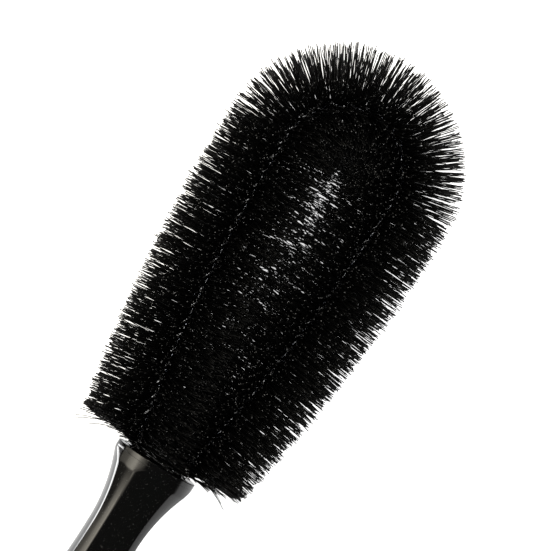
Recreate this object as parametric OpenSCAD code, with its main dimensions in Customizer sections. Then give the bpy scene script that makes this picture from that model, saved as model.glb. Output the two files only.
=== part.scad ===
// Loop-type wheel brush: a twisted-in-wire bristle head bent into a long loop,
// both stems of the loop held in the nose cap of a hollow moulded handle.
//
// The brush lies on its bristles. +X runs from the handle to the tip of the head, +Z is up,
// and the origin is the middle of the bounding box's base. Inside the modules x = 0 is the
// front face of the nose cap and y = z = 0 is the brush's own axis.

/* [Head] */
// Distance between the two legs of the wire loop at its widest, centre to centre
loop_w = 57; // [57:1:72]
// Distance from the nose cap's face to the start of the loop's half-round end
leg_l = 155; // [120:1:180]
// Distance between the two stems at the nose cap's face, centre to centre
stem_gap = 24; // [22:1:25]
// Length of the bristles, from the wire's centreline to their ends
bristle_l = 27.5; // [20:0.5:28]
// Clearance between the nose cap's face and the first bristles
base_clearance = 1; // [0.5:0.1:3]
// Number of bristle packs along each leg
leg_packs = 6; // [3:1:8]
// Number of bristle packs around the half-round end
tip_packs = 6; // [4:1:8]

/* [Wire] */
// Diameter of each of the two twisted wires
wire_d = 2.2; // [1.6:0.1:2.4]
// Length of one full turn of the twist
twist_pitch = 15; // [12:0.5:24]
// Gap between the two wires that the filaments are pinched in
pinch_gap = 0.3; // [0.2:0.05:0.4]
// Length of each straight stem behind the nose cap's face
stem_l = 23; // [20:1:25]

/* [Nose cap] */
// Diameter of the round collar at the front of the handle
collar_d = 40; // [38:0.2:44]
// Height of the collar
collar_h = 2.5; // [2:0.1:3]
// Radius of the collar's front edge
collar_edge_r = 0.4; // [0.3:0.1:1.5]
// Diameter of the tapered plug where it meets the collar
plug_d = 31.4; // [31:0.1:32]
// Diameter of the tapered plug at its inner end
plug_end_d = 22; // [21:0.5:23]
// Length of the tapered plug
plug_l = 20; // [18:1:20]

/* [Ferrules] */
// Outer diameter of the steel ferrules crimped on the stems
ferrule_d = 6.2; // [5.8:0.1:6.4]
// Length of each ferrule
ferrule_l = 20; // [16:1:20]

/* [Handle] */
// Length of the handle body, from the collar to the end cap
body_l = 194; // [180:1:230]
// Diameter of the neck, over the rounded lands between its flats
neck_d = 28.3; // [27.5:0.1:30]
// Distance across two opposite flats of the neck
neck_flat_w = 24.6; // [23:0.1:25.5]
// Distance from the nose cap's face to the narrowest part of the neck
neck_x = 38; // [34:1:44]
// Radius of the hollow curve in which the neck rises to the collar, and its flats run out
flare_r = 82; // [76:1:90]
// Diameter of the grip at its thickest, over the lands
grip_d = 34; // [31:0.5:38]
// Diameter of the waist behind the grip, over the lands
waist_d = 30.5; // [29:0.5:34]
// Diameter of the butt, over the lands
butt_d = 34; // [31:0.5:38]
// Distance across the flats of the grip, as a share of the diameter over the lands
flat_share = 0.865; // [0.84:0.005:0.9]
// Wall thickness, measured at the middle of a flat
wall = 2.6; // [2:0.1:3]

/* [End cap] */
// Thickness of the cap's plate
cap_plate_h = 4; // [3:0.5:6]
// Length of the cap's spigot inside the handle
cap_spigot_l = 12; // [8:1:16]
// Diameter of the hanging hole
hang_hole_d = 8; // [6:0.5:9]
// Width of the lug around the hanging hole
lug_w = 22; // [20:1:26]
// Thickness of the lug
lug_h = 12; // [8:0.5:14]
// Length of the taper from the cap's plate to the lug
cap_taper_l = 8; // [5:0.5:12]
// Distance from the end of the taper to the centre of the hanging hole
lug_reach = 7; // [5:0.5:12]

/* [Hidden] */
$fn = 96;

// Fits and small clearances
plug_fit = 0.1;
spigot_fit = 0.1;
bore_fit = 0.05;
pack_gap = 0.2;
core_fit = 0.25;
overcut = 1;

// Facets of the small rounds; the large ones have $fn
small_fn = 32;

// The wire loop: a half-round end, and two legs bowed on one large radius
loop_r = loop_w / 2;
stem_y = stem_gap / 2;
leg_rise = loop_r - stem_y;
leg_bow_r = (pow(leg_l, 2) + pow(leg_rise, 2)) / (2 * leg_rise);
leg_angle = asin(leg_l / leg_bow_r);
leg_arc_l = leg_bow_r * leg_angle * PI / 180;
tip_arc_l = loop_r * PI;
half_loop_l = stem_l + leg_arc_l + tip_arc_l / 2;

// The twisted pair
strand_offset = (wire_d + pinch_gap) / 2;
twist_r = strand_offset + wire_d / 2;
core_r = twist_r + core_fit;
rings_per_turn = 8;
wire_sides = 6;
ring_count = round(2 * half_loop_l / twist_pitch * rings_per_turn);

// Ferrules, from behind the collar's face to just past the plug
ferrule_bore_r = twist_r + bore_fit;
ferrule_start = stem_l + 1 - ferrule_l;

// The handle, measured back from the nose cap's face
body_end = collar_h + body_l;
run_out_end = 12;
grip_x = 112;
waist_x = 168;
run_out_step = 0.5;
profile_step = 2;
cavity_end_r = body_flat_r(body_end) - wall;
taper_end_x = -body_end - cap_plate_h - cap_taper_l;
taper_lip = 0.5;
hole_x = taper_end_x - lug_reach;
brush_end = -hole_x + lug_w / 2;
head_end = leg_l + loop_r + bristle_l;

// Where the brush lies in its frame
shift_x = (brush_end - head_end) / 2;
axis_z = bristle_l;

// Larger than any part it cuts
big = 400;

// ---------------------------------------------------------------- handle outline

// Smooth step from a to b as x goes from x0 to x1
function blend(a, b, x, x0, x1) = a + (b - a) * (1 - cos(180 * (x - x0) / (x1 - x0))) / 2;

// Distance of the hollow flare's surface from the axis, where neck is its distance at the neck
function flare(neck, d) = neck + flare_r - sqrt(pow(flare_r, 2) - pow(neck_x - d, 2));

// Radius over the lands at distance d behind the nose cap's face; at the front they are one with the collar
function body_land_r(d) =
    d < neck_x ? min(collar_d / 2, flare(neck_d / 2, d)) :
    d < grip_x ? blend(neck_d / 2, grip_d / 2, d, neck_x, grip_x) :
    d < waist_x ? blend(grip_d / 2, waist_d / 2, d, grip_x, waist_x) :
    blend(waist_d / 2, butt_d / 2, d, waist_x, body_end);

// Distance of the flats from the axis at the same place
function body_flat_r(d) =
    d < neck_x ? flare(neck_flat_w / 2, d) :
    d < grip_x ? blend(neck_flat_w / 2, grip_d / 2 * flat_share, d, neck_x, grip_x) :
    flat_share * body_land_r(d);

// Stations along the body, closest together where the flats run out
run_out_l = run_out_end - collar_h;
grip_l = body_end - run_out_end;
stations = concat(
    [for (i = [0:run_out_l / run_out_step - 1]) collar_h + i * run_out_step],
    [for (i = [0:ceil(grip_l / profile_step)]) min(run_out_end + i * profile_step, body_end)]
);

// Half outlines of the lands and of the flats, distance from the axis first
land_outline = concat([[0, -collar_h]], [for (d = stations) [body_land_r(d), -d]], [[0, -body_end]]);
flat_outline = concat(
    [for (d = stations) [body_flat_r(d), -d]],
    [for (i = [len(stations) - 1:-1:0]) [-body_flat_r(stations[i]), -stations[i]]]
);

// Half outline of the cavity behind the plug
cavity_start = collar_h + plug_l;
cavity_stations = [for (d = stations) if (d > cavity_start) d];
cavity_outline = concat(
    [[0, -cavity_start], [plug_end_d / 2 + plug_fit, -cavity_start]],
    [for (d = cavity_stations) [body_flat_r(d) - wall, -d]],
    [[cavity_end_r, -body_end - overcut], [0, -body_end - overcut]]
);

// ---------------------------------------------------------------- wire path

// Distance along the loop folded about its middle, so both halves share one formula
function folded(s) = min(s, 2 * half_loop_l - s);

// Direction from the loop's inside to its outside on the left half, as an angle from +X
function left_normal(s) =
    s < stem_l ? 90 + leg_angle :
    s < stem_l + leg_arc_l ? 90 + leg_angle * (1 - (s - stem_l) / leg_arc_l) :
    90 * (1 - (s - stem_l - leg_arc_l) / (tip_arc_l / 2));

// Point of the centreline on the left half
function left_point(s) =
    s < stem_l ? [-(stem_l - s) * cos(leg_angle), stem_y - (stem_l - s) * sin(leg_angle)] :
    s < stem_l + leg_arc_l
        ? [leg_l + leg_bow_r * cos(left_normal(s)), loop_r - leg_bow_r + leg_bow_r * sin(left_normal(s))] :
    [leg_l + loop_r * cos(left_normal(s)), loop_r * sin(left_normal(s))];

function side(s) = s < half_loop_l ? 1 : -1;
function normal_at(s) = side(s) * left_normal(folded(s));
function point_at(s) = [left_point(folded(s))[0], side(s) * left_point(folded(s))[1], 0];

// Point beside the centreline, r away in the direction that is a degrees round the wire
function beside(s, r, a) =
    [r * cos(a) * cos(normal_at(s)), r * cos(a) * sin(normal_at(s)), r * sin(a)];

// Centre of a strand whose twist starts at the angle phase
function strand_point(s, phase) = point_at(s) + beside(s, strand_offset, phase + 360 * s / twist_pitch);

// ---------------------------------------------------------------- placing

// From the brush's own axes to the frame it lies in
module place() {
    translate([shift_x, 0, axis_z]) children();
}

// Stand a shape that was drawn along Z on the brush's axis
module along_axis() {
    rotate([0, 90, 0]) children();
}

// Put a shape drawn along Z on the left stem, with z measured back from the nose cap's face
module on_left_stem() {
    translate([0, stem_y, 0]) rotate([0, 0, leg_angle]) rotate([0, -90, 0]) children();
}

// ---------------------------------------------------------------- handle parts

// Solid outline of the handle body: a turned shape with four long flats
module body_outline() {
    intersection() {
        along_axis() rotate_extrude() polygon(land_outline);
        along_axis() rotate([90, 0, 0]) linear_extrude(big, center = true) polygon(flat_outline);
        along_axis() rotate([90, 0, 90]) linear_extrude(big, center = true) polygon(flat_outline);
    }
}

module handle_body() {
    color("#0d0d0e") difference() {
        body_outline();
        // Tapered socket for the nose cap's plug
        translate([-collar_h, 0, 0]) rotate([0, -90, 0])
            cylinder(h = plug_l, r1 = plug_d / 2 + plug_fit, r2 = plug_end_d / 2 + plug_fit);
        along_axis() rotate_extrude() polygon(cavity_outline);
    }
}

// Collar with a rounded front edge, drawn along Z with its front face at z = 0
module collar() {
    rotate_extrude() hull() {
        translate([collar_d / 2 - collar_edge_r, -collar_edge_r]) circle(collar_edge_r, $fn = small_fn);
        translate([0, -collar_h]) square([collar_d / 2, collar_h - collar_edge_r]);
        translate([0, -collar_edge_r]) square([collar_d / 2 - collar_edge_r, collar_edge_r]);
    }
}

module stem_holes() {
    // The wire's own hole through the collar, then the wider seat of the ferrule
    translate([0, 0, -overcut]) cylinder(r = core_r, h = ferrule_start + 2 * overcut);
    translate([0, 0, ferrule_start - bore_fit]) cylinder(r = ferrule_d / 2 + bore_fit, h = 2 * stem_l);
}

module nose_cap() {
    color("#0d0d0e") difference() {
        union() {
            along_axis() collar();
            translate([-collar_h, 0, 0]) rotate([0, -90, 0])
                cylinder(h = plug_l, r1 = plug_d / 2, r2 = plug_end_d / 2);
        }
        on_left_stem() stem_holes();
        mirror([0, 1, 0]) on_left_stem() stem_holes();
    }
}

// Plate with the same flats as the butt, drawn behind the handle body
module cap_plate() {
    intersection() {
        translate([-body_end, 0, 0]) rotate([0, -90, 0])
            cylinder(h = cap_plate_h, d = butt_d, $fn = small_fn);
        cube([big * 2, 2 * body_flat_r(body_end), 2 * body_flat_r(body_end)], center = true);
    }
}

// Flat lug with a round end, from the end of the cap's taper back
module cap_lug() {
    translate([hole_x, 0, 0]) cylinder(h = lug_h, d = lug_w, center = true);
    translate([hole_x, -lug_w / 2, -lug_h / 2]) cube([taper_end_x - hole_x, lug_w, lug_h]);
}

module end_cap() {
    color("#0d0d0e") difference() {
        union() {
            hull() {
                cap_plate();
                translate([taper_end_x, -lug_w / 2, -lug_h / 2]) cube([taper_lip, lug_w, lug_h]);
            }
            cap_lug();
            translate([-body_end - cap_plate_h / 2, 0, 0]) rotate([0, 90, 0])
                cylinder(h = cap_spigot_l + cap_plate_h / 2, r = cavity_end_r - spigot_fit);
        }
        translate([hole_x, 0, 0]) cylinder(h = 2 * lug_w, d = hang_hole_d, center = true);
    }
}

// ---------------------------------------------------------------- head parts

module left_ferrule_tube() {
    on_left_stem() translate([0, 0, ferrule_start]) difference() {
        cylinder(h = ferrule_l, d = ferrule_d);
        translate([0, 0, -overcut]) cylinder(h = ferrule_l + 2 * overcut, r = ferrule_bore_r);
    }
}

module left_ferrule() {
    color("#a9abad") left_ferrule_tube();
}

module right_ferrule() {
    color("#a9abad") mirror([0, 1, 0]) left_ferrule_tube();
}

// One of the two wires: a tube swept along the loop while it twists round the other
module wire_strand(phase) {
    rings = [for (i = [0:ring_count]) i * 2 * half_loop_l / ring_count];
    points = [
        for (s = rings, k = [0:wire_sides - 1])
            strand_point(s, phase) + beside(s, wire_d / 2, 360 * k / wire_sides)
    ];
    sides = [
        for (i = [0:ring_count - 1], k = [0:wire_sides - 1])
            let (a = i * wire_sides, b = a + wire_sides, next = (k + 1) % wire_sides)
            [a + k, b + k, b + next, a + next]
    ];
    start = [for (k = [0:wire_sides - 1]) k];
    end = [for (k = [wire_sides - 1:-1:0]) ring_count * wire_sides + k];
    color("#b9bbbd") polyhedron(points, concat([start, end], sides));
}

module wire_strand_a() { wire_strand(0); }
module wire_strand_b() { wire_strand(180); }

// Round bristle envelope swept along an arc of the wire, hollow where the wire runs
module arc_pack(arc_r, from_angle, to_angle) {
    gap_angle = pack_gap / 2 / arc_r * 180 / PI;
    rotate([0, 0, from_angle + gap_angle]) rotate_extrude(angle = to_angle - from_angle - 2 * gap_angle)
        translate([arc_r, 0]) difference() {
            circle(r = bristle_l);
            circle(r = core_r, $fn = small_fn);
        }
}

// Bristles of one stretch of the left leg; pack 1 is next to the nose cap
module left_bristles(i) {
    pack_angle = leg_angle / leg_packs;
    // The first pack runs on past the nose cap's face, and is cut back level with it
    extra = i == 1 ? pack_angle : 0;
    far = 90 + leg_angle - (i - 1) * pack_angle;
    color("#141415") intersection() {
        translate([leg_l, loop_r - leg_bow_r, 0]) arc_pack(leg_bow_r, far - pack_angle, far + extra);
        translate([base_clearance, pack_gap / 2, -big / 2]) cube(big);
    }
}

module right_bristles(i) {
    mirror([0, 1, 0]) left_bristles(i);
}

// Bristles of one stretch of the half-round end, counted from left to right
module tip_bristles(i) {
    pack_angle = 180 / tip_packs;
    from_angle = 90 - i * pack_angle;
    color("#141415") translate([leg_l, 0, 0]) arc_pack(loop_r, from_angle, from_angle + pack_angle);
}

// ---------------------------------------------------------------- the brush

place() nose_cap();
place() handle_body();
place() end_cap();
place() left_ferrule();
place() right_ferrule();
place() wire_strand_a();
place() wire_strand_b();
for (i = [1:leg_packs]) {
    place() left_bristles(i);
    place() right_bristles(i);
}
for (i = [1:tip_packs]) {
    place() tip_bristles(i);
}
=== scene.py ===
"""The looks of a loop-type wheel brush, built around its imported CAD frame.

The brush lies on its bristles. +X runs from the handle to the tip of the head and +Z is up.
Everything is in metres, in the frame of the CAD model.
"""
import math

import bpy
import numpy as np
from mathutils import Matrix, Vector


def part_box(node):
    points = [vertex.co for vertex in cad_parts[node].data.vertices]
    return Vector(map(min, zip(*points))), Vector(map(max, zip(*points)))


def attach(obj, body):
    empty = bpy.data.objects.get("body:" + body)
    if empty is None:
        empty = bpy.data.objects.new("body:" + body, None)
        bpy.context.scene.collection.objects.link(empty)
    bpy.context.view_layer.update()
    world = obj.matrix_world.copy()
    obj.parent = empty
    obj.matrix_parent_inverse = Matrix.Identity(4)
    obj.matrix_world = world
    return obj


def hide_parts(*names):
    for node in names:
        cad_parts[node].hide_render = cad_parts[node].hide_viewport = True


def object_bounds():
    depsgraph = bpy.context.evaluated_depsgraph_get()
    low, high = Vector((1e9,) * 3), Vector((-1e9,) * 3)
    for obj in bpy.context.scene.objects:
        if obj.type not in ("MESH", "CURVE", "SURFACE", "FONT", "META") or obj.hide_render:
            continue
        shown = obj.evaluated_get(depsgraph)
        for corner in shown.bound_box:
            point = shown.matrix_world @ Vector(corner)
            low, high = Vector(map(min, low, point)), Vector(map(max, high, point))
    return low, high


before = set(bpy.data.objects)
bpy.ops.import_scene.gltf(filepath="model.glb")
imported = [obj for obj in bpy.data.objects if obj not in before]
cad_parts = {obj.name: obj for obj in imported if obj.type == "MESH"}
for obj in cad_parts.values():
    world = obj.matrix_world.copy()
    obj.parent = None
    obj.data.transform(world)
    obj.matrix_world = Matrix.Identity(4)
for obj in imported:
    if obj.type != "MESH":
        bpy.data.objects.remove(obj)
cad_low, cad_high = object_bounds()

MM = 0.001


# ---------------------------------------------------------------- sizes, from the CAD boxes

nose_low, nose_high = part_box("nose_cap")
body_low, body_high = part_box("handle_body")
cap_low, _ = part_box("end_cap")
pack_low, pack_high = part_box("left_bristles_6")

FACE_X = nose_high.x
AXIS_Z = (nose_low.z + nose_high.z) / 2
COLLAR_R = (nose_high.z - nose_low.z) / 2
COLLAR_H = FACE_X - body_high.x
BODY_END = FACE_X - body_low.x
LUG_END = FACE_X - cap_low.x
BRISTLE_L = (pack_high.z - pack_low.z) / 2
LOOP_R = cad_high.y - BRISTLE_L
LEG_L = cad_high.x - BRISTLE_L - LOOP_R - FACE_X

# Sizes that no box gives, the same as in the CAD model
STEM_Y = 12 * MM
STEM_L = 23 * MM
STEM_HOLE_R = 2.6 * MM
FERRULE_SEAT_R = 3.15 * MM
FERRULE_START = 4 * MM
WIRE_R = 1.1 * MM
STRAND_OFFSET = 1.25 * MM
TWIST_PITCH = 15 * MM
COLLAR_EDGE_R = 0.4 * MM
PLUG_R = 15.7 * MM
PLUG_END_R = 11 * MM
PLUG_L = 20 * MM
PLUG_FIT = 0.1 * MM
LEG_PACKS = 6
TIP_PACKS = 6


# ---------------------------------------------------------------- the wire's path

LEG_RISE = LOOP_R - STEM_Y
LEG_BOW_R = (LEG_L**2 + LEG_RISE**2) / (2 * LEG_RISE)
LEG_ANGLE = math.asin(LEG_L / LEG_BOW_R)
LEG_ARC_L = LEG_BOW_R * LEG_ANGLE
TIP_ARC_L = LOOP_R * math.pi
LOOP_L = 2 * LEG_ARC_L + TIP_ARC_L
UP = np.array([0.0, 0.0, 1.0])


def wire_path(s):
    """Points, outward normals and tangents of the loop at the distances s along it.

    s is 0 where the left stem leaves the nose cap, and LOOP_L where the right one does.
    """
    s = np.asarray(s, dtype=float)
    left = s < LOOP_L / 2
    side = np.where(left, 1.0, -1.0)
    t = np.where(left, s, LOOP_L - s)
    on_stem = t < 0
    on_leg = t < LEG_ARC_L
    angle = np.where(
        on_leg,
        math.pi / 2 + LEG_ANGLE * (1 - t / LEG_ARC_L),
        math.pi / 2 * (1 - (t - LEG_ARC_L) / (TIP_ARC_L / 2)),
    )
    angle = np.where(on_stem, math.pi / 2 + LEG_ANGLE, angle)
    radius = np.where(on_leg, LEG_BOW_R, LOOP_R)
    centre_y = np.where(on_leg, LOOP_R - LEG_BOW_R, 0.0)
    stem = np.minimum(t, 0.0)
    x = FACE_X + LEG_L + radius * np.cos(angle) + stem * math.cos(LEG_ANGLE)
    y = centre_y + radius * np.sin(angle) + stem * math.sin(LEG_ANGLE)
    points = np.stack([x, side * y, np.full_like(x, AXIS_Z)], axis=1)
    normals = np.stack([np.cos(angle), side * np.sin(angle), np.zeros_like(x)], axis=1)
    tangents = np.stack([side * np.sin(angle), -np.cos(angle), np.zeros_like(x)], axis=1)
    return points, normals, tangents


def twist_angle(s):
    """Angle of strand a round the wire's centreline; it is 0 at the left stem's inner end."""
    return 2 * math.pi * (np.asarray(s) + STEM_L) / TWIST_PITCH


def round_wire(angles, normals):
    """Unit vectors at angles round the wire: 0 is away from the loop, and a quarter turn is up."""
    angles = angles[..., None]
    return np.cos(angles) * normals + np.sin(angles) * UP


# ---------------------------------------------------------------- mesh helpers

def unit(vectors):
    """Vectors of the same directions and length 1."""
    return vectors / np.linalg.norm(vectors, axis=-1, keepdims=True)


def new_mesh(name, points, *face_arrays):
    """A smooth mesh from its points and arrays of faces, each array with its own number of corners."""
    mesh = bpy.data.meshes.new(name)
    corners = np.concatenate([faces.ravel() for faces in face_arrays])
    sizes = np.concatenate([np.full(len(faces), faces.shape[1]) for faces in face_arrays])
    starts = np.concatenate([[0], np.cumsum(sizes)[:-1]])
    mesh.vertices.add(len(points))
    mesh.vertices.foreach_set("co", np.asarray(points, dtype=np.float32).ravel())
    mesh.loops.add(len(corners))
    mesh.loops.foreach_set("vertex_index", corners.astype(np.int32))
    mesh.polygons.add(len(sizes))
    mesh.polygons.foreach_set("loop_start", starts.astype(np.int32))
    mesh.update(calc_edges=True)
    mesh.shade_smooth()
    return mesh


def new_piece(name, mesh, material, node):
    """Puts a mesh in the scene as a piece on the one body, standing for the given CAD node."""
    piece = bpy.data.objects.new(name, mesh)
    bpy.context.scene.collection.objects.link(piece)
    mesh.materials.append(material)
    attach(piece, "root")
    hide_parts(node)
    return piece


def tube_faces(rings, sides, closed=False):
    """Quads between consecutive rings of equally many points; closed joins the last ring to the first."""
    ring = np.arange(rings if closed else rings - 1)[:, None] * sides
    around = np.arange(sides)[None, :]
    after = (around + 1) % sides
    up = (ring + sides) % (rings * sides)
    return np.stack([ring + around, ring + after, up + after, up + around], axis=-1).reshape(-1, 4)


def capped_faces(rings, sides):
    """Faces of a tube with both ends closed."""
    first = np.arange(sides)
    ends = np.stack([first[::-1], (rings - 1) * sides + first])
    return tube_faces(rings, sides), ends


def turned(name, outline, origin, axis, sides=192):
    """A solid turned about an axis from an outline of (distance along the axis, radius)."""
    placing = Vector(axis).to_track_quat("Z", "Y").to_matrix()
    angles = np.linspace(0, 2 * math.pi, sides, endpoint=False)
    circle = np.stack([np.cos(angles), np.sin(angles), np.zeros(sides)], axis=1)
    rings = [r * circle + np.array([0, 0, z]) for z, r in outline]
    points = np.concatenate(rings) @ np.array(placing).T + np.array(origin)
    return new_mesh(name, points, *capped_faces(len(rings), sides))


def cut(piece, mesh):
    """Takes a mesh's volume away from a piece."""
    tool = bpy.data.objects.new("cutter", mesh)
    bpy.context.scene.collection.objects.link(tool)
    modifier = piece.modifiers.new("cut", "BOOLEAN")
    modifier.object = tool
    modifier.solver = "EXACT"
    evaluated = piece.evaluated_get(bpy.context.evaluated_depsgraph_get())
    result = bpy.data.meshes.new_from_object(evaluated)
    piece.modifiers.clear()
    piece.data = result
    bpy.data.objects.remove(tool)


# ---------------------------------------------------------------- materials

# Places of the Mix node's colour sockets, which share their names with those for plain numbers
MIX_FIRST, MIX_SECOND, MIX_RESULT = 6, 7, 2


def node_material(name):
    """A material with its node tree, its Principled shader and its object-space coordinates."""
    material = bpy.data.materials.new(name)
    material.use_nodes = True
    tree = material.node_tree
    shader = tree.nodes["Principled BSDF"]
    coords = tree.nodes.new("ShaderNodeTexCoord")
    return material, tree, shader, coords.outputs["Object"]


def noise(tree, coords, scale, detail=2.0):
    """The value of a noise texture with about scale blotches to the metre."""
    node = tree.nodes.new("ShaderNodeTexNoise")
    node.inputs["Scale"].default_value = scale
    node.inputs["Detail"].default_value = detail
    tree.links.new(coords, node.inputs["Vector"])
    return node.outputs["Fac"]


def ramp(tree, value, *stops):
    """A colour ramp; each stop is (position, grey or colour)."""
    node = tree.nodes.new("ShaderNodeValToRGB")
    elements = node.color_ramp.elements
    while len(elements) < len(stops):
        elements.new(1.0)
    for element, (position, colour) in zip(elements, stops):
        element.position = position
        element.color = (*colour, 1) if isinstance(colour, tuple) else (colour, colour, colour, 1)
    tree.links.new(value, node.inputs["Fac"])
    return node.outputs["Color"]


def remap(tree, value, low, high):
    """Maps low..high to 0..1."""
    node = tree.nodes.new("ShaderNodeMapRange")
    node.inputs["From Min"].default_value = low
    node.inputs["From Max"].default_value = high
    tree.links.new(value, node.inputs["Value"])
    return node.outputs["Result"]


def blend_colours(tree, factor, first, second, mode="MIX"):
    """Mixes a colour output with another output or a fixed colour."""
    node = tree.nodes.new("ShaderNodeMix")
    node.data_type = "RGBA"
    node.blend_type = mode
    inputs = (node.inputs["Factor"], node.inputs[MIX_FIRST], node.inputs[MIX_SECOND])
    for socket, value in zip(inputs, (factor, first, second)):
        if isinstance(value, (float, tuple)):
            socket.default_value = value
        else:
            tree.links.new(value, socket)
    return node.outputs[MIX_RESULT]


def bump(tree, height, shader, strength, distance):
    """Ripples a shader's surface by a height; distance is the full height in metres."""
    node = tree.nodes.new("ShaderNodeBump")
    node.inputs["Strength"].default_value = strength
    node.inputs["Distance"].default_value = distance
    tree.links.new(height, node.inputs["Height"])
    tree.links.new(node.outputs["Normal"], shader.inputs["Normal"])


def gloss_black_plastic():
    """Polished black moulding: faint flow marks, a little dust, uneven gloss."""
    material, tree, shader, coords = node_material("gloss_black_plastic")
    flow = noise(tree, coords, scale=90, detail=3)
    tree.links.new(ramp(tree, flow, (0.3, 0.07), (0.75, 0.15)), shader.inputs["Roughness"])
    dust = noise(tree, coords, scale=2600, detail=1)
    colour = ramp(tree, dust, (0.0, 0.0016), (0.74, 0.0022), (0.77, 0.1), (1.0, 0.18))
    tree.links.new(colour, shader.inputs["Base Color"])
    bump(tree, noise(tree, coords, scale=240), shader, strength=0.05, distance=0.4 * MM)
    shader.inputs["IOR"].default_value = 1.5
    return material


def bristle_nylon():
    """Black nylon filament: dark and slightly uneven along each filament, paler where it was cut."""
    material, tree, shader, coords = node_material("bristle_nylon")
    tone = tree.nodes.new("ShaderNodeAttribute")
    tone.attribute_name = "tone"
    mottle = ramp(tree, noise(tree, coords, scale=900), (0.3, 0.55), (0.7, 1.0))
    colour = blend_colours(tree, 1.0, tone.outputs["Color"], mottle, "MULTIPLY")
    tree.links.new(colour, shader.inputs["Base Color"])
    shader.inputs["Roughness"].default_value = 0.35
    shader.inputs["Specular IOR Level"].default_value = 0.08
    return material


def galvanised_steel():
    """Drawn galvanised wire: bluish grey metal with fine dull blotches."""
    material, tree, shader, coords = node_material("galvanised_steel")
    blotch = noise(tree, coords, scale=700, detail=3)
    colour = ramp(tree, blotch, (0.3, (0.19, 0.2, 0.23)), (0.7, (0.33, 0.35, 0.4)))
    tree.links.new(colour, shader.inputs["Base Color"])
    tree.links.new(ramp(tree, blotch, (0.3, 0.12), (0.7, 0.25)), shader.inputs["Roughness"])
    shader.inputs["Metallic"].default_value = 1.0
    return material


PLASTIC = gloss_black_plastic()
NYLON = bristle_nylon()
STEEL = galvanised_steel()


# ---------------------------------------------------------------- handle

# Distances (_D) are behind the nose cap's face. The handle narrows from the collar to the neck in
# a hollow flare, swells to the grip, narrows to the waist and swells to the butt.
NECK_R = 14.15 * MM
NECK_FLAT_R = 12.3 * MM
NECK_D = 38 * MM
FLARE_R = 82 * MM
GRIP_D = 112 * MM
WAIST_D = 168 * MM
GRIP_R = 17 * MM
WAIST_R = 15.25 * MM
BUTT_R = 17 * MM
FLAT_SHARE = 0.865
FLAT_CROWN_R = 65 * MM
WALL = 2.6 * MM
RUN_OUT_END = 13 * MM
EDGE_SHARPNESS = 120
SHOULDER_SHARPNESS = 150
SECTION_POINTS = 288

# Distances between the rings of points near the collar, along the neck and further back, and the
# room that they leave for the rings of the rims. The bore has every fourth ring.
FINE_STEP = 0.25 * MM
NECK_STEP = 0.6 * MM
GRIP_STEP = 1.5 * MM
NECK_RINGS_END = NECK_D + 10 * MM
COLLAR_ROOM = 0.3 * MM
BUTT_ROOM = 1 * MM
BORE_STRIDE = 4

# Radii of rounded edges, and where from 0 to its radius a rounded edge has its rings of points
SEAM_R = 0.08 * MM
RIM_R = 0.5 * MM
RIM_STEPS = np.array([0.0, 0.06, 0.2, 0.45, 0.75, 1.0])


def ease(t):
    """0 to 1 with level ends."""
    t = np.clip(t, 0.0, 1.0)
    return (1 - np.cos(math.pi * t)) / 2


def swell(a, b, d, start, end):
    """A radius that changes smoothly from a to b as d goes from start to end."""
    return a + (b - a) * ease((d - start) / (end - start))


def flare(neck, d):
    """Distance of the hollow flare's surface from the axis, where neck is its distance at the neck."""
    return neck + FLARE_R - math.sqrt(FLARE_R**2 - (NECK_D - d) ** 2)


def soft_min(a, b, sharpness):
    """The smaller of a and b, rounded off where they are about equal."""
    return (np.power(a, -sharpness) + np.power(b, -sharpness)) ** (-1 / sharpness)


def land_radius(d):
    """Radius of the handle over the lands between its flats, d behind the nose cap's face."""
    if d < NECK_D:
        return soft_min(COLLAR_R, flare(NECK_R, d), SHOULDER_SHARPNESS)
    if d < GRIP_D:
        return swell(NECK_R, GRIP_R, d, NECK_D, GRIP_D)
    if d < WAIST_D:
        return swell(GRIP_R, WAIST_R, d, GRIP_D, WAIST_D)
    return swell(WAIST_R, BUTT_R, d, WAIST_D, BODY_END)


def flat_radius(d):
    """Distance of the handle's flats from its axis, d behind the nose cap's face."""
    if d < NECK_D:
        return flare(NECK_FLAT_R, d)
    if d < GRIP_D:
        return swell(NECK_FLAT_R, GRIP_R * FLAT_SHARE, d, NECK_D, GRIP_D)
    return FLAT_SHARE * land_radius(d)


def bore_radius(d):
    """Radius of the handle's inside: the nose cap's tapered socket, then the cavity."""
    behind_collar = d - COLLAR_H
    if behind_collar < PLUG_L:
        return PLUG_R + (PLUG_END_R - PLUG_R) * behind_collar / PLUG_L + PLUG_FIT
    return flat_radius(d) - WALL


def around_axis(radii, angles, d):
    """A ring of points round the brush's axis, d behind the nose cap's face."""
    return np.stack(
        [np.full_like(angles, FACE_X - d), radii * np.cos(angles), AXIS_Z + radii * np.sin(angles)], axis=1
    )


def handle_section(d, angles):
    """Radii of the handle's section: a circle with four slightly crowned flats and softened edges.

    Each flat is part of a large circle, whose centre is beyond the handle's axis.
    """
    centre = FLAT_CROWN_R - flat_radius(d)
    toward = np.maximum(np.abs(np.cos(angles)), np.abs(np.sin(angles)))
    flat = np.sqrt(FLAT_CROWN_R**2 - centre**2 * (1 - toward**2)) - centre * toward
    return soft_min(land_radius(d), flat, EDGE_SHARPNESS)


def handle_stations():
    """Distances behind the nose cap's face, close together at both rims and where the flats run out."""
    return np.concatenate([
        COLLAR_H + SEAM_R * RIM_STEPS,
        np.arange(COLLAR_H + COLLAR_ROOM, RUN_OUT_END, FINE_STEP),
        np.arange(RUN_OUT_END, NECK_RINGS_END, NECK_STEP),
        np.arange(NECK_RINGS_END + BUTT_ROOM, BODY_END - BUTT_ROOM, GRIP_STEP),
        BODY_END - SEAM_R * RIM_STEPS[::-1],
    ])


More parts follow.
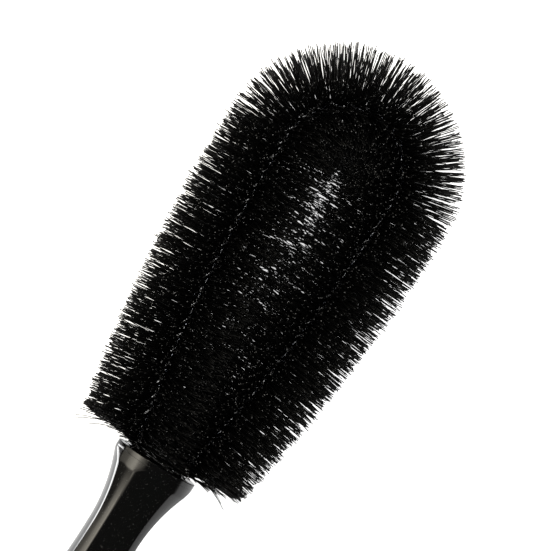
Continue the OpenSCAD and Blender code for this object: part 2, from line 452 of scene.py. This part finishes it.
def edge_rounding(d, start, end, radius):
    """How far the rounded rims at start and end pull the surface in at d."""
    reach = radius - np.minimum(np.minimum(d - start, end - d), radius)
    return radius - np.sqrt(np.maximum(radius**2 - reach**2, 0.0))


def make_handle_body():
    """Hollow handle: rings along the outside from collar to butt, then back along the bore."""
    angles = np.linspace(0, 2 * math.pi, SECTION_POINTS, endpoint=False)
    stations = handle_stations()
    rings = [
        around_axis(handle_section(d, angles) - edge_rounding(d, COLLAR_H, BODY_END, SEAM_R), angles, d)
        for d in stations
    ]
    for d in np.append(stations[:0:-BORE_STRIDE], COLLAR_H):
        rings.append(around_axis(np.full_like(angles, bore_radius(d)), angles, d))
    faces = tube_faces(len(rings), SECTION_POINTS, closed=True)
    mesh = new_mesh("handle_body_shell", np.concatenate(rings), faces[:, ::-1])
    new_piece("handle_body_shell", mesh, PLASTIC, "handle_body")


def arc(centre, radius, start, end, steps=8):
    """Points of an arc, angles in degrees."""
    for angle in np.radians(np.linspace(start, end, steps)):
        yield centre[0] + radius * math.cos(angle), centre[1] + radius * math.sin(angle)


def make_nose_cap():
    """Collar with a rounded front edge and a tapered plug, bored for the two stems."""
    tip_r, clear, chamfer = 0.5 * MM, 1 * MM, 0.2 * MM
    plug_end = COLLAR_H + PLUG_L
    outline = [
        (0.0, COLLAR_R / 2),
        *arc((COLLAR_EDGE_R, COLLAR_R - COLLAR_EDGE_R), COLLAR_EDGE_R, 180, 90),
        *arc((COLLAR_H - SEAM_R, COLLAR_R - SEAM_R), SEAM_R, 90, 0),
        (COLLAR_H, PLUG_R),
        *arc((plug_end - tip_r, PLUG_END_R - tip_r), tip_r, 90, 0),
    ]
    mesh = turned("nose_cap_collar", outline, (FACE_X, 0, AXIS_Z), (-1, 0, 0))
    piece = new_piece("nose_cap_collar", mesh, PLASTIC, "nose_cap")
    stem_hole = [
        (-clear, STEM_HOLE_R + clear + chamfer),
        (chamfer, STEM_HOLE_R),
        (FERRULE_START, STEM_HOLE_R),
        (FERRULE_START, FERRULE_SEAT_R),
        (2 * STEM_L, FERRULE_SEAT_R),
    ]
    for side in (1, -1):
        start = (FACE_X, side * STEM_Y, AXIS_Z)
        direction = (-math.cos(LEG_ANGLE), -side * math.sin(LEG_ANGLE), 0)
        cut(piece, turned("stem_hole", stem_hole, start, direction, sides=64))


def make_end_cap():
    """Cap that follows the butt's section, then runs out into a flat lug with a hanging hole."""
    lug_r, lug_h = 11 * MM, 12 * MM
    plate, taper = 4 * MM, 8 * MM
    lug_edge, squareness, narrowest = 1.5 * MM, 14, 0.8 * MM
    edge_room, step = 1.2 * MM, 0.6 * MM
    hole_r, mouth = 4 * MM, 0.6 * MM
    start, end = BODY_END, LUG_END
    hole_d = end - lug_r
    angles = np.linspace(0, 2 * math.pi, SECTION_POINTS, endpoint=False)
    butt = handle_section(BODY_END, angles)
    stations = np.concatenate([
        start + RIM_R * RIM_STEPS,
        np.arange(start + edge_room, end - edge_room, step),
        end - RIM_STEPS[::-1] * MM,
    ])
    rings = []
    for d in stations:
        beyond_hole = max(d - hole_d, 0.0)
        half_w = max(math.sqrt(max(lug_r**2 - beyond_hole**2, 0.0)), narrowest)
        half_h = lug_h / 2 - edge_rounding(d, start, end, lug_edge)
        # Radii of a rectangle of the lug's half width and height, with rounded corners
        lug = (np.abs(np.cos(angles) / half_w) ** squareness
               + np.abs(np.sin(angles) / half_h) ** squareness) ** (-1 / squareness)
        share = ease((d - start - plate) / taper)
        radii = (1 - share) * (butt - edge_rounding(d, start, end, RIM_R)) + share * lug
        rings.append(around_axis(radii, angles, d))
    quads, ends = capped_faces(len(rings), SECTION_POINTS)
    mesh = new_mesh("end_cap_lug", np.concatenate(rings), quads[:, ::-1], ends[:, ::-1])
    piece = new_piece("end_cap_lug", mesh, PLASTIC, "end_cap")
    half_h = lug_h / 2
    hole = [
        (-half_h - mouth, hole_r + 2 * mouth),
        (-half_h + mouth, hole_r),
        (half_h - mouth, hole_r),
        (half_h + mouth, hole_r + 2 * mouth),
    ]
    cut(piece, turned("hanging_hole", hole, (FACE_X - hole_d, 0, AXIS_Z), (0, 0, 1), sides=96))


# ---------------------------------------------------------------- twisted wires

def make_wire_strand(letter, phase):
    """One of the two wires that twist about each other from stem to stem."""
    rings_per_turn, sides = 24, 12
    length = LOOP_L + 2 * STEM_L
    count = round(length / TWIST_PITCH * rings_per_turn)
    s = np.linspace(-STEM_L, LOOP_L + STEM_L, count + 1)
    points, normals, _ = wire_path(s)
    centres = points + STRAND_OFFSET * round_wire(twist_angle(s) + phase, normals)
    around = np.linspace(0, 2 * math.pi, sides, endpoint=False)
    rings = centres[:, None] + WIRE_R * round_wire(around, normals[:, None])
    mesh = new_mesh(f"twisted_wire_{letter}", rings.reshape(-1, 3), *capped_faces(count + 1, sides))
    new_piece(f"twisted_wire_{letter}", mesh, STEEL, f"wire_strand_{letter}")


def finish_ferrules():
    """Gives the two CAD ferrules the wires' steel."""
    for node in ("left_ferrule", "right_ferrule"):
        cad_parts[node].data.materials[0] = STEEL


# ---------------------------------------------------------------- bristles

SEED = 20261116
ENDS_PER_M = 36000
FILAMENT_R = 0.2 * MM
FILAMENT_SIDES = 6
FILAMENT_RINGS = 8
ROOT_R = 0.9 * MM
ROOT_START = 0.3 * MM
FILAMENT_L = BRISTLE_L + 0.8 * MM

# The dome of a cut end, in filament radii: its height and the radius of its top
DOME_HEIGHT = 0.3
DOME_TOP_R = 0.7

# How far the filaments spread: round the wire evenly and at random, along it, in length and in
# bend. Those that point into the loop have brushed against each other and are more tangled.
GOLDEN = (math.sqrt(5) - 1) / 2
HELIX_REACH = math.radians(86)
HELIX_JITTER = math.radians(4)
LEAN_SPREAD = math.radians(2.5)
LENGTH_SPREAD = 0.025
BEND_SPREAD = 0.045
INNER_FRIZZ = 2.2

# Near the nose cap the filaments are pushed forward, off its face, and curl back beyond its edge
BASE_REACH = 16 * MM
BASE_SWEEP = math.radians(1.2)
BASE_OUTER_SWEEP = math.radians(26)
BASE_CURL = 0.25
BASE_CALM = 0.75

# A few loose filaments next to the nose cap hang back past its face
STRAYS = 3
STRAY_REACH = 5 * MM
STRAY_TURN = math.radians(50)
STRAY_BEND = (0.34, 0.46)

# Tones of the filaments and of their cut ends, as (darkest, spread); few of the ends are pale
SHADES = (0.002, 0.003)
CUT_SHADES = (0.02, 0.22)
CUT_RARITY = 5


def pack_ranges():
    """Node name and stretch of the wire of each bristle pack."""
    leg, tip = LEG_ARC_L / LEG_PACKS, TIP_ARC_L / TIP_PACKS
    for i in range(LEG_PACKS):
        yield f"left_bristles_{i + 1}", max(i * leg, ROOT_START), (i + 1) * leg
    for i in range(TIP_PACKS):
        yield f"tip_bristles_{i + 1}", LEG_ARC_L + i * tip, LEG_ARC_L + (i + 1) * tip
    for i in range(LEG_PACKS):
        yield f"right_bristles_{i + 1}", LOOP_L - (i + 1) * leg, LOOP_L - max(i * leg, ROOT_START)


def base_nearness(s):
    """1 at the nose cap's face, falling to 0 further along the wire."""
    return np.clip(1 - np.minimum(s, LOOP_L - s) / BASE_REACH, 0, 1) ** 2


def filament_curves(rng, start, end):
    """Centrelines of the filament ends rooted from start to end along the wire, and their side vectors."""
    count = round((end - start) * ENDS_PER_M)
    index = np.arange(count)
    s = start + (index + 0.5) / count * (end - start)
    evenly = 2 * ((index * GOLDEN) % 1) - 1
    turn = twist_angle(s) + math.pi / 2 + math.pi * (index % 2)
    turn += HELIX_REACH * evenly + rng.normal(0, HELIX_JITTER, count)
    strays = rng.permutation(np.flatnonzero(np.minimum(s, LOOP_L - s) < STRAY_REACH))[:STRAYS]
    turn[strays] = rng.uniform(-STRAY_TURN, STRAY_TURN, len(strays))

    near = base_nearness(s)
    forward = np.where(s < LOOP_L / 2, 1.0, -1.0)
    outward = np.maximum(np.cos(turn), 0)
    disorder = (1 + INNER_FRIZZ * np.maximum(-np.cos(turn), 0)) * (1 - BASE_CALM * near)
    lean = rng.normal(0, LEAN_SPREAD, count) * disorder
    lean += forward * near * (BASE_SWEEP + BASE_OUTER_SWEEP * outward + LEG_ANGLE * np.cos(turn))
    bend_angle = rng.uniform(0, 2 * math.pi, count)
    bend_size = np.abs(rng.normal(0, BEND_SPREAD, count)) * disorder
    bend_along = bend_size * np.cos(bend_angle) - forward * near * BASE_CURL * outward
    bend_along[strays] = -forward[strays] * rng.uniform(*STRAY_BEND, len(strays))
    bend_across = bend_size * np.sin(bend_angle)
    length = FILAMENT_L * (1 + rng.normal(0, LENGTH_SPREAD, count)) - ROOT_R
    return bent_filaments(s, turn, lean, length, bend_along, bend_across)


def bent_filaments(s, turn, lean, length, bend_along, bend_across):
    """Centrelines and side vectors of filaments, from their places along and round the wire."""
    roots, normals, tangents = wire_path(s)
    radial = round_wire(turn, normals)
    direction = np.cos(lean)[:, None] * radial + np.sin(lean)[:, None] * tangents
    across = unit(np.cross(direction, tangents))
    along = np.cross(across, direction)
    bend = bend_along[:, None] * along + bend_across[:, None] * across
    t = np.linspace(0, 1, FILAMENT_RINGS - 1)[None, :, None]
    reach = length[:, None, None]
    curve = (roots + ROOT_R * direction)[:, None] + reach * (t * direction[:, None] + t**2 * bend[:, None])
    # The brush rests on its bristles, and none of them goes through the floor
    curve[:, :, 2] = np.maximum(curve[:, :, 2], FILAMENT_R)
    return curve, along, across


def filament_mesh(name, curve, along, across, rng):
    """One mesh of round filaments with slightly domed ends, each with its own tone and its own UV cell."""
    dome = curve[:, -1:] + unit(curve[:, -1:] - curve[:, -2:-1]) * DOME_HEIGHT * FILAMENT_R
    centres = np.concatenate([curve, dome], axis=1)
    count, rings, _ = centres.shape
    sides = FILAMENT_SIDES
    radii = np.full(rings, FILAMENT_R)
    radii[-1] *= DOME_TOP_R
    around = np.linspace(0, 2 * math.pi, sides, endpoint=False)[None, None, :, None]
    spread = np.cos(around) * along[:, None, None] + np.sin(around) * across[:, None, None]
    points = centres[:, :, None] + radii[None, :, None, None] * spread

    first = np.arange(count)[:, None, None] * rings * sides
    quads = (first + tube_faces(rings, sides)[None]).reshape(-1, 4)
    corner = np.arange(sides)
    roots = first[:, 0] + corner[None, ::-1]
    ends = first[:, 0] + (rings - 1) * sides + corner[None]
    mesh = new_mesh(name, points.reshape(-1, 3), quads, np.concatenate([roots, ends]))
    add_tones(mesh, count, rings, sides, rng)
    add_strand_uvs(mesh, count, rings, sides)
    return mesh


def add_tones(mesh, count, rings, sides, rng):
    """Stores a dark tone for each filament and a paler one for its cut end."""
    shade = SHADES[0] + SHADES[1] * rng.random(count)
    cut = CUT_SHADES[0] + CUT_SHADES[1] * rng.random(count) ** CUT_RARITY
    tone = np.repeat(shade[:, None], rings, axis=1)
    tone[:, -1] = cut
    tones = np.repeat(tone.reshape(-1), sides)
    colours = np.stack([tones, tones, tones, np.ones_like(tones)], axis=1)
    attribute = mesh.color_attributes.new("tone", "FLOAT_COLOR", "POINT")
    attribute.data.foreach_set("color", colours.astype(np.float32).ravel())


def add_strand_uvs(mesh, count, rings, sides):
    """Unrolls every filament into its own square cell, with its two end faces above its side.
    """
    side_share, end_height, end_size, margin = 0.8, 0.9, 0.05, 0.05
    k = np.arange(sides)[None, :, None]
    ring = np.arange(rings - 1)[:, None, None]
    u = (k + np.array([0, 1, 1, 0])) / sides * np.ones_like(ring)
    v = (ring + np.array([0, 0, 1, 1])) / (rings - 1) * side_share * np.ones_like(k)
    side = np.stack([u, v], axis=-1).reshape(-1, 2)
    turn = 2 * math.pi * np.arange(sides) / sides
    disc = end_size * np.stack([np.cos(turn), np.sin(turn)], axis=1)
    root_disc = disc[::-1] + np.array([1 / 4, end_height])
    end_disc = disc + np.array([3 / 4, end_height])

    grid = math.ceil(math.sqrt(count))
    index = np.arange(count)
    cell = np.stack([index % grid, index // grid], axis=1)[:, None] + margin
    scale = 1 - 2 * margin
    uvs = [(cell + scale * shape[None]).reshape(-1, 2) / grid for shape in (side, root_disc, end_disc)]
    layer = mesh.uv_layers.new(name="OFBake")
    layer.data.foreach_set("uv", np.concatenate(uvs).astype(np.float32).ravel())


def make_bristles():
    """One piece of loose filaments for each bristle pack of the CAD model."""
    for index, (node, start, end) in enumerate(pack_ranges()):
        rng = np.random.default_rng(SEED + index)
        curve, along, across = filament_curves(rng, start, end)
        name = node.replace("bristles", "filaments")
        mesh = filament_mesh(name, curve, along, across, rng)
        new_piece(name, mesh, NYLON, node)


# ---------------------------------------------------------------- stage, light and camera

def make_floor():
    """A pale floor that is wide enough for every view and doesn't show in the gloss."""
    half = 6.0
    mesh = bpy.data.meshes.new("floor")
    corners = [(-half, -half, 0), (half, -half, 0), (half, half, 0), (-half, half, 0)]
    mesh.from_pydata(corners, [], [(0, 1, 2, 3)])
    floor = bpy.data.objects.new("floor", mesh)
    bpy.context.scene.collection.objects.link(floor)
    material, _, shader, _ = node_material("pale_floor")
    shader.inputs["Base Color"].default_value = (0.8, 0.8, 0.8, 1)
    shader.inputs["Roughness"].default_value = 0.9
    shader.inputs["Specular IOR Level"].default_value = 0.1
    shader.inputs["Emission Color"].default_value = (1, 1, 1, 1)
    shader.inputs["Emission Strength"].default_value = 0.75
    mesh.materials.append(material)
    floor.visible_glossy = False


TOP_LIGHT_SIZE = 3.0
TOP_LIGHT_WATTS = 90
TOP_LIGHT_PLACE = (0.1, 0.0, 2.6)


def make_top_light():
    """A large soft box overhead that lights the brush without showing in its gloss."""
    light = bpy.data.lights.new("top", "AREA")
    light.size = TOP_LIGHT_SIZE
    light.energy = TOP_LIGHT_WATTS
    lamp = bpy.data.objects.new("top", light)
    lamp.location = TOP_LIGHT_PLACE
    lamp.visible_camera = False
    lamp.visible_glossy = False
    bpy.context.scene.collection.objects.link(lamp)


NEUTRAL = (1.0, 1.0, 1.0)
WARM = (1.0, 0.94, 0.8)
BLACK = (0.0, 0.0, 0.0, 1.0)
WORLD_STRENGTH = 6.0
RIM_RADIANCE = 9.0

# Radiance of the surroundings up the sky, as (Z of the direction, radiance)
WINDOW_SIDE = (
    (-1.0, 1.0), (-0.9, 0.8), (-0.68, 0.7), (-0.64, 0.02), (-0.36, 0.02), (-0.28, 0.9), (0.0, 1.35),
    (0.1, 1.6), (0.24, 3.2), (0.5, 5.4), (0.57, 5.4), (0.68, 2.4), (0.9, 0.01),
)
WINDOW_SILL = -0.3
WALL_SIDE = (
    (-1.0, 1.0), (-0.9, 0.8), (-0.7, 0.8), (-0.5, 1.1), (0.0, 1.05), (0.1, 1.05), (0.18, 0.3),
    (0.26, 0.02),
)

# Where the surroundings change, as ranges of a direction's X (towards the tip), Y (to the left)
# or Z (up). Each runs from no effect to full effect.
WINDOW_Y = (0.12, 0.35)
LEFT_Y = (0.25, 0.5)
LOW_DIM_X = (-0.05, -0.35)
HIGH_DIM_X = (-0.35, -0.75)
HIGH_DIM_Z = (0.05, 0.25)
LOW_DIMMING = 0.9
HIGH_DIMMING = 0.95
RIM_TOP_Z = (-0.41, -0.46)
RIM_FOOT_Z = (-0.94, -0.86)
RIM_X = (-0.088, -0.105)


def tinted(value, tint):
    """A colour of the given tint and strength."""
    return tuple(value * share for share in tint)


def sky_colours(tree, z, stops, tint):
    """Colours up the sky from stops of radiance, tinted above the window's sill."""
    colours = []
    for stop_z, radiance in stops:
        shade = tint if stop_z > WINDOW_SILL else NEUTRAL
        colours.append(((stop_z + 1) / 2, tinted(radiance / WORLD_STRENGTH, shade)))
    return ramp(tree, remap(tree, z, -1, 1), *colours)


def both(tree, first, second):
    """1 where both masks are 1."""
    return blend_colours(tree, 1.0, first, second, "MULTIPLY")


def make_world():
    """Studio surroundings: a large warm window on the left, a pale wall elsewhere, dark overhead.

    The window is dimmed towards the handle's end, and a bright strip low on the left draws the
    light line along the neck's edge.
    """
    world = bpy.data.worlds.new("studio")
    world.use_nodes = True
    tree = world.node_tree
    background = tree.nodes["Background"]
    coords = tree.nodes.new("ShaderNodeTexCoord")
    split = tree.nodes.new("ShaderNodeSeparateXYZ")
    tree.links.new(coords.outputs["Generated"], split.inputs[0])
    x, y, z = (split.outputs[axis] for axis in "XYZ")

    wall = sky_colours(tree, z, WALL_SIDE, NEUTRAL)
    window = sky_colours(tree, z, WINDOW_SIDE, WARM)
    sides = blend_colours(tree, remap(tree, y, *WINDOW_Y), wall, window)

    left = remap(tree, y, *LEFT_Y)
    low_end = ramp(tree, remap(tree, x, *LOW_DIM_X), (0.0, 0.0), (1.0, LOW_DIMMING))
    high_end = ramp(tree, remap(tree, x, *HIGH_DIM_X), (0.0, 0.0), (1.0, HIGH_DIMMING))
    end = blend_colours(tree, remap(tree, z, *HIGH_DIM_Z), low_end, high_end)
    dimmed = blend_colours(tree, both(tree, left, end), sides, BLACK)

    rim_height = both(tree, remap(tree, z, *RIM_TOP_Z), remap(tree, z, *RIM_FOOT_Z))
    rim_place = both(tree, left, remap(tree, x, *RIM_X))
    rim = both(tree, rim_height, rim_place)
    rim_colour = (*tinted(RIM_RADIANCE / WORLD_STRENGTH, NEUTRAL), 1.0)
    tree.links.new(blend_colours(tree, rim, dimmed, rim_colour), background.inputs["Color"])
    background.inputs["Strength"].default_value = WORLD_STRENGTH
    bpy.context.scene.world = world


CAMERA_ROLL = math.radians(10)
AXIS_IN_PICTURE = math.radians(58)
CAMERA_DISTANCE = 1.3
VIEW_WIDTH = 0.248
VIEW_AHEAD = 99.2 * MM
VIEW_RIGHT = 0.75 * MM
SENSOR_WIDTH = 36


def make_camera():
    """Looks down on the head, a little round the brush's axis, with the tip at the upper right."""
    target = Vector((FACE_X + VIEW_AHEAD, -VIEW_RIGHT, AXIS_Z))
    back = Vector((0, math.sin(CAMERA_ROLL), math.cos(CAMERA_ROLL)))
    along = Vector((1, 0, 0))
    down = Vector((0, -math.cos(CAMERA_ROLL), math.sin(CAMERA_ROLL)))
    right = along * math.cos(AXIS_IN_PICTURE) + down * math.sin(AXIS_IN_PICTURE)
    up = along * math.sin(AXIS_IN_PICTURE) - down * math.cos(AXIS_IN_PICTURE)
    data = bpy.data.cameras.new("camera")
    data.sensor_width = SENSOR_WIDTH
    data.lens = SENSOR_WIDTH * CAMERA_DISTANCE / VIEW_WIDTH
    camera = bpy.data.objects.new("camera", data)
    turn = Matrix((right, up, back)).transposed()
    camera.matrix_world = Matrix.Translation(target + back * CAMERA_DISTANCE) @ turn.to_4x4()
    bpy.context.scene.collection.objects.link(camera)
    bpy.context.scene.camera = camera


make_camera()
make_handle_body()
make_nose_cap()
make_end_cap()
make_wire_strand("a", 0)
make_wire_strand("b", math.pi)
finish_ferrules()
make_bristles()
make_floor()
make_world()
make_top_light()
bpy.context.scene.view_settings.view_transform = "Standard"
